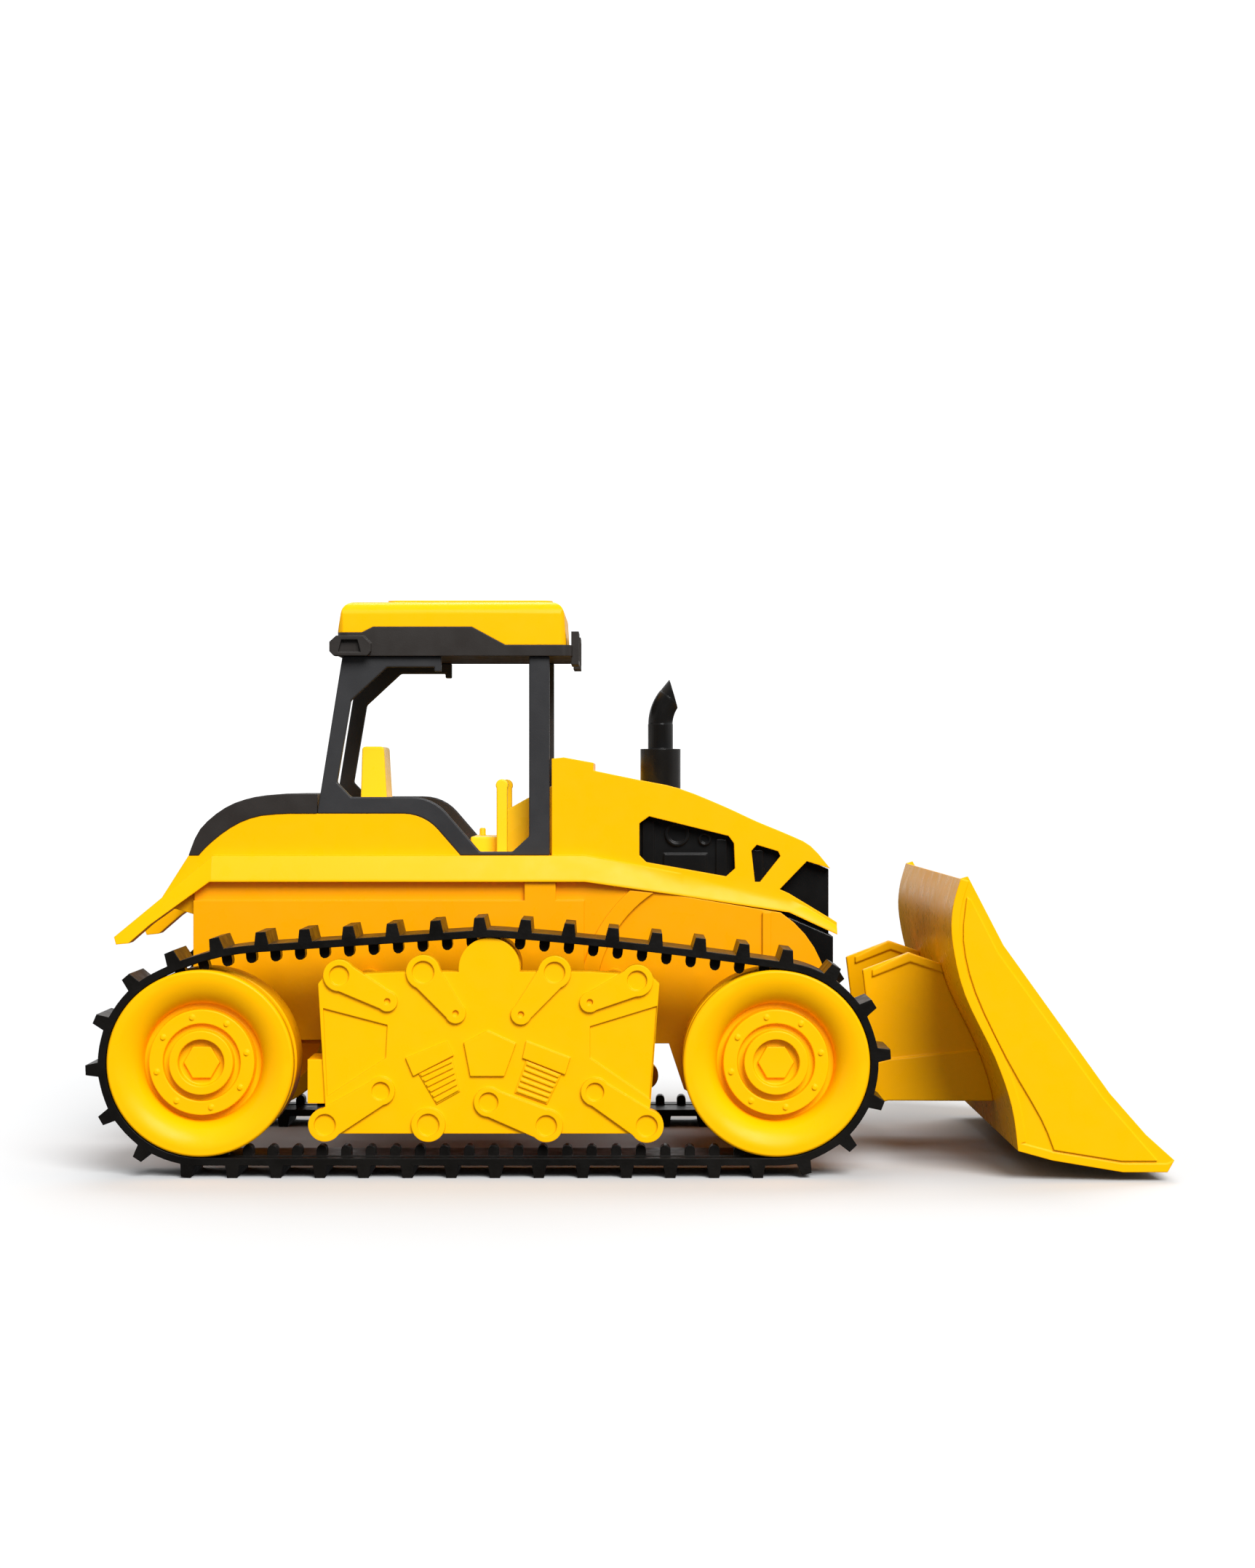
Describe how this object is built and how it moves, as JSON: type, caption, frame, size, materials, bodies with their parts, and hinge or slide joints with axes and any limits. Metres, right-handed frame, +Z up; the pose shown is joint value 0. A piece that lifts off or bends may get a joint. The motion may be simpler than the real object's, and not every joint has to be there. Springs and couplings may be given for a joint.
{
  "type": "toy bulldozer",
  "caption": "Toy bulldozer with rubber tracks on spinning wheels, an open cab, an exhaust stack and a curved blade that swings up and down.",
  "frame": {"origin": "on the ground under the middle of the bounding box, blade lowered", "axes": "+X forward towards the blade, +Y to the driver's left, +Z up"},
  "size_m": [0.381, 0.196, 0.2069],
  "materials": {
    "yellow_plastic": "smooth moulded, soft gloss",
    "black_plastic": "fine satin grain",
    "track_rubber": "matt moulded rubber",
    "washer_plastic": "plain moulded",
    "steel": "bright zinc plated"
  },
  "bodies": {
    "vehicle_body": {"chassis": "yellow_plastic", "upper_body": "yellow_plastic", "engine_insert": "black_plastic", "radiator_grille": "black_plastic", "exhaust_stack": "black_plastic", "rear_cowl": "black_plastic", "cab_frame_right": "black_plastic", "cab_frame_left": "black_plastic", "roof_frame": "black_plastic", "roof_cap": "yellow_plastic", "seat": "yellow_plastic", "console": "yellow_plastic", "control_levers": "yellow_plastic", "track_right": "track_rubber", "track_left": "track_rubber", "track_frame_right": "yellow_plastic", "track_frame_left": "yellow_plastic", "blade_pivot_pins": "steel", "pivot_washers": "washer_plastic", "body_screws": "steel", "track_frame_screws": "steel"},
    "rear_wheel_set": {"rear_axle": "steel", "wheel_rear_right": "yellow_plastic", "wheel_rear_left": "yellow_plastic"},
    "front_wheel_set": {"front_axle": "steel", "wheel_front_right": "yellow_plastic", "wheel_front_left": "yellow_plastic"},
    "blade_unit": {"blade": "yellow_plastic", "push_frame": "yellow_plastic", "blade_screws": "steel"}
  },
  "joints": [
    {"name": "rear_wheels_spin", "type": "hinge", "parent": "vehicle_body", "child": "rear_wheel_set", "pos_m": [-0.1503, 0, 0.0402], "axis": [0, 1, 0], "continuous": true},
    {"name": "front_wheels_spin", "type": "hinge", "parent": "vehicle_body", "child": "front_wheel_set", "pos_m": [0.0524, 0, 0.0402], "axis": [0, 1, 0], "continuous": true},
    {"name": "blade_lift", "type": "hinge", "parent": "vehicle_body", "child": "blade_unit", "pos_m": [0.0575, 0, 0.0175], "axis": [0, -1, 0], "range_deg": [-1, 13.5]}
  ],
  "couplings": [
    {"joint": "front_wheels_spin", "follows": "rear_wheels_spin", "ratio": 1}
  ]
}
